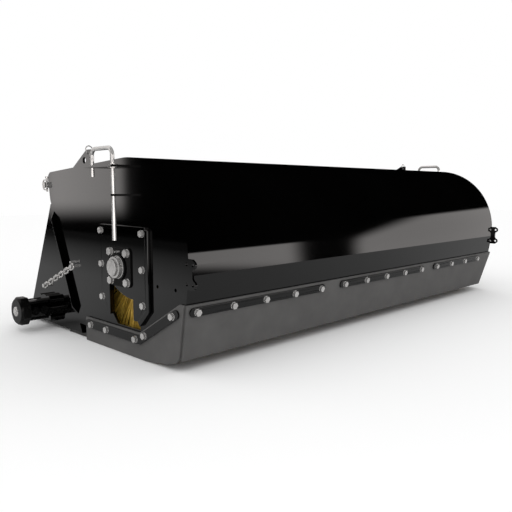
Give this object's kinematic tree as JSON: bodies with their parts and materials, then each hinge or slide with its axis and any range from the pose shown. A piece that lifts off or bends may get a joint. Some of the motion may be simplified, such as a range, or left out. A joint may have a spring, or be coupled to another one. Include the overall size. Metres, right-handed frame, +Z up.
{
  "type": "loader pick-up sweeper bucket",
  "caption": "Black hydraulic pick-up broom for a loader: rolled hood with a gold cross brush, rubber flaps, drop rods and a hinged dump bucket.",
  "frame": {"origin": "middle of the cutting edge's underside, on the ground", "axes": "+X to the machine's right-hand end as seen from behind the front, front faces -Y, +Z up"},
  "size_m": [2.0945, 1.0374, 0.611],
  "materials": {
    "black_paint": "gloss",
    "black_casting": "satin",
    "wear_steel": "worn",
    "bright_steel": "zinc plated",
    "chrome_rod": "polished",
    "motor_grey": "satin",
    "rubber": "matt",
    "bristle": "matt",
    "core_steel": "dull"
  },
  "bodies": {
    "bucket": {"bucket_shell": "black_paint", "bucket_side_left": "black_paint", "bucket_side_right": "black_paint", "cutting_edge": "wear_steel", "cutting_edge_bolts": "bright_steel", "wear_bars": "wear_steel", "hinge_tube": "black_paint", "hinge_pins": "bright_steel", "lynch_pins": "bright_steel", "quick_attach_plate": "black_paint", "quick_attach_ribs": "black_paint", "chain_pegs": "bright_steel", "aux_motor_flange": "black_paint", "aux_motor_body": "black_paint", "aux_motor_cap": "motor_grey", "aux_motor_tie_rods": "motor_grey", "aux_motor_fittings": "bright_steel"},
    "hood": {"hood_shell": "black_paint", "hood_side_left": "black_paint", "hood_side_right": "black_paint", "parting_flanges": "black_paint", "guard_bars": "black_paint", "rod_tabs": "black_paint", "rod_bushes": "bright_steel", "lifting_lugs": "black_paint", "lug_clips": "bright_steel", "corner_bracket_left": "black_paint", "corner_bracket_right": "black_paint", "front_flap": "rubber", "front_flap_strips": "black_paint", "front_flap_bolts": "bright_steel", "side_flap_left": "rubber", "side_flap_right": "rubber", "side_flap_strips": "black_paint", "side_flap_bolts": "bright_steel", "bearing_plate_left": "black_paint", "bearing_plate_right": "black_paint", "bearing_plate_bolts": "bright_steel", "bearing_housing": "black_casting", "bearing_ring": "bright_steel", "bearing_bolts": "bright_steel", "drive_motor_flange": "black_paint", "drive_motor_body": "black_paint", "drive_motor_cap": "motor_grey", "drive_motor_tie_rods": "motor_grey", "drive_motor_fittings": "bright_steel", "chain_forks": "bright_steel", "hold_chains": "bright_steel"},
    "brush": {"brush_core": "core_steel", "brush_bristles": "bristle", "brush_end_discs": "core_steel", "brush_shaft": "bright_steel", "shaft_collar": "bright_steel", "drive_shaft": "bright_steel"},
    "rod_left": {"drop_rod_left": "chrome_rod"},
    "rod_right": {"drop_rod_right": "chrome_rod"},
    "aux_rotor": {"aux_shaft": "bright_steel"}
  },
  "joints": [
    {"name": "hood_hinge", "type": "hinge", "parent": "bucket", "child": "hood", "pos_m": [0, 0.155, 0.49301], "axis": [-1, 0, 0], "range_deg": [0, 60], "deforming": ["hold_chains"]},
    {"name": "brush_spin", "type": "hinge", "parent": "hood", "child": "brush", "pos_m": [0, -0.287, 0.257], "axis": [1, 0, 0], "continuous": true},
    {"name": "drop_rod_left_slide", "type": "slide", "parent": "hood", "child": "rod_left", "axis": [0, 0, 1], "range_m": [0, 0.115]},
    {"name": "drop_rod_right_slide", "type": "slide", "parent": "hood", "child": "rod_right", "axis": [0, 0, 1], "range_m": [0, 0.115]},
    {"name": "aux_shaft_spin", "type": "hinge", "parent": "bucket", "child": "aux_rotor", "pos_m": [-0.9145, 0.191, 0.07], "axis": [1, 0, 0], "continuous": true}
  ]
}
